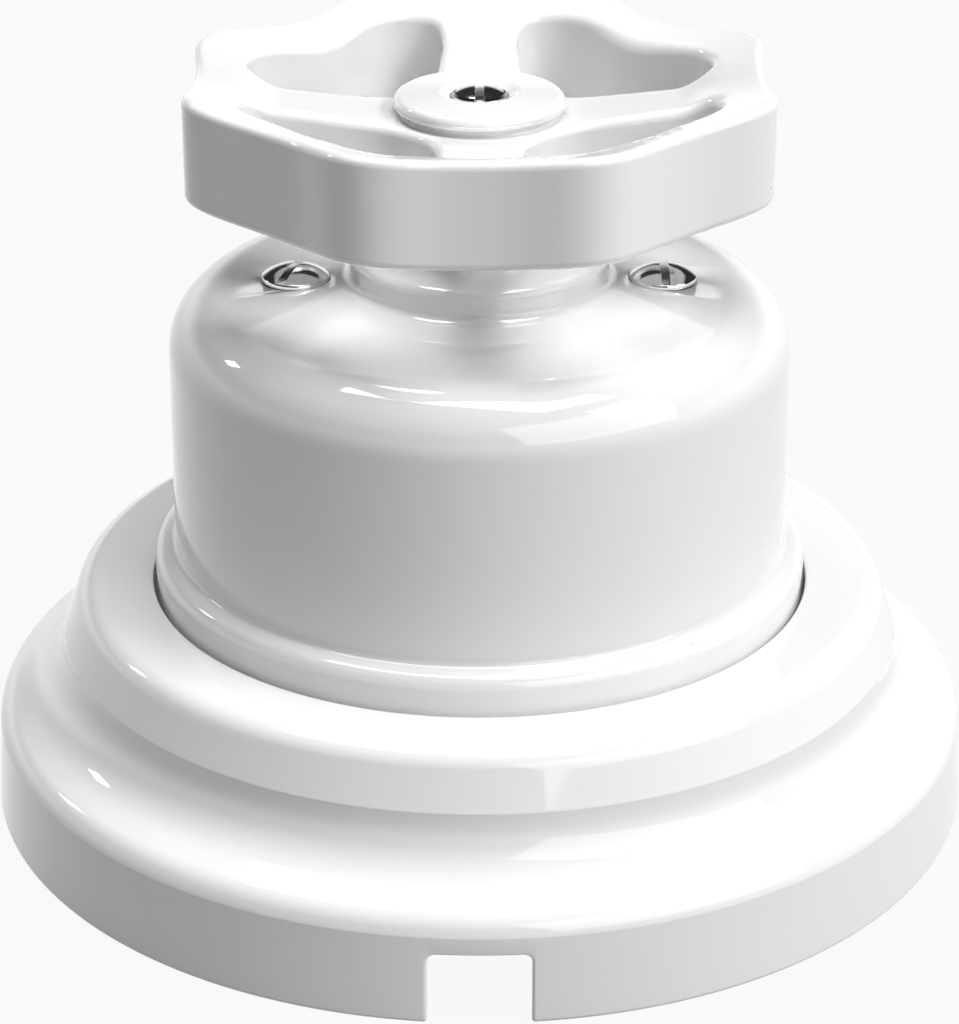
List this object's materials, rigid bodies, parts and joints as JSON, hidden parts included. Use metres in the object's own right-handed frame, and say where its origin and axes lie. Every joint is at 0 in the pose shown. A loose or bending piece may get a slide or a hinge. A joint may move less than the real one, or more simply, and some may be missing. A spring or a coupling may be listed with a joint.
{
  "type": "rotary two-way light switch",
  "caption": "Round surface-mounted rotary switch: stepped porcelain frame, domed porcelain cover and a dished four-spoke handwheel knob.",
  "frame": {"origin": "centre of the frame's back, on the wall plane", "axes": "+Z out of the wall along the knob's axis; the cable notch faces -Y; the cover screws lie along X"},
  "size_m": [0.1, 0.0998, 0.0754],
  "materials": {
    "porcelain": "white gloss glaze",
    "nickel": "bright nickel plate",
    "brass": "turned, bare",
    "bronze": "rolled strip, bare",
    "zinc_steel": "zinc plated",
    "spring_steel": "blued spring strip",
    "resin": "moulded resin"
  },
  "bodies": {
    "housing": {"frame": "porcelain", "cover": "porcelain", "mechanism_base": "porcelain", "cover_screws": "nickel", "pillar_nuts": "nickel", "terminal_screws": "nickel", "cover_pillars": "brass", "lower_bush": "brass", "upper_bush": "brass", "terminal_rivets": "brass", "terminal_common": "brass", "terminal_way_one": "brass", "terminal_way_two": "brass", "contact_common": "bronze", "contact_way_one": "bronze", "contact_way_two": "bronze", "bearing_plate": "zinc_steel", "index_spring_front": "spring_steel", "index_spring_rear": "spring_steel"},
    "knob_set": {"knob": "porcelain", "knob_screw": "nickel", "shaft": "brass", "index_cam": "zinc_steel", "cam_circlip": "spring_steel", "thrust_washer": "zinc_steel", "rotor_drum": "resin", "contact_bridge": "brass", "bridge_rivets": "brass"}
  },
  "joints": [
    {"name": "knob_turn", "type": "hinge", "parent": "housing", "child": "knob_set", "pos_m": [0, 0, 0.05], "axis": [0, 0, 1], "continuous": true, "deforming": ["index_spring_front", "index_spring_rear"]}
  ]
}
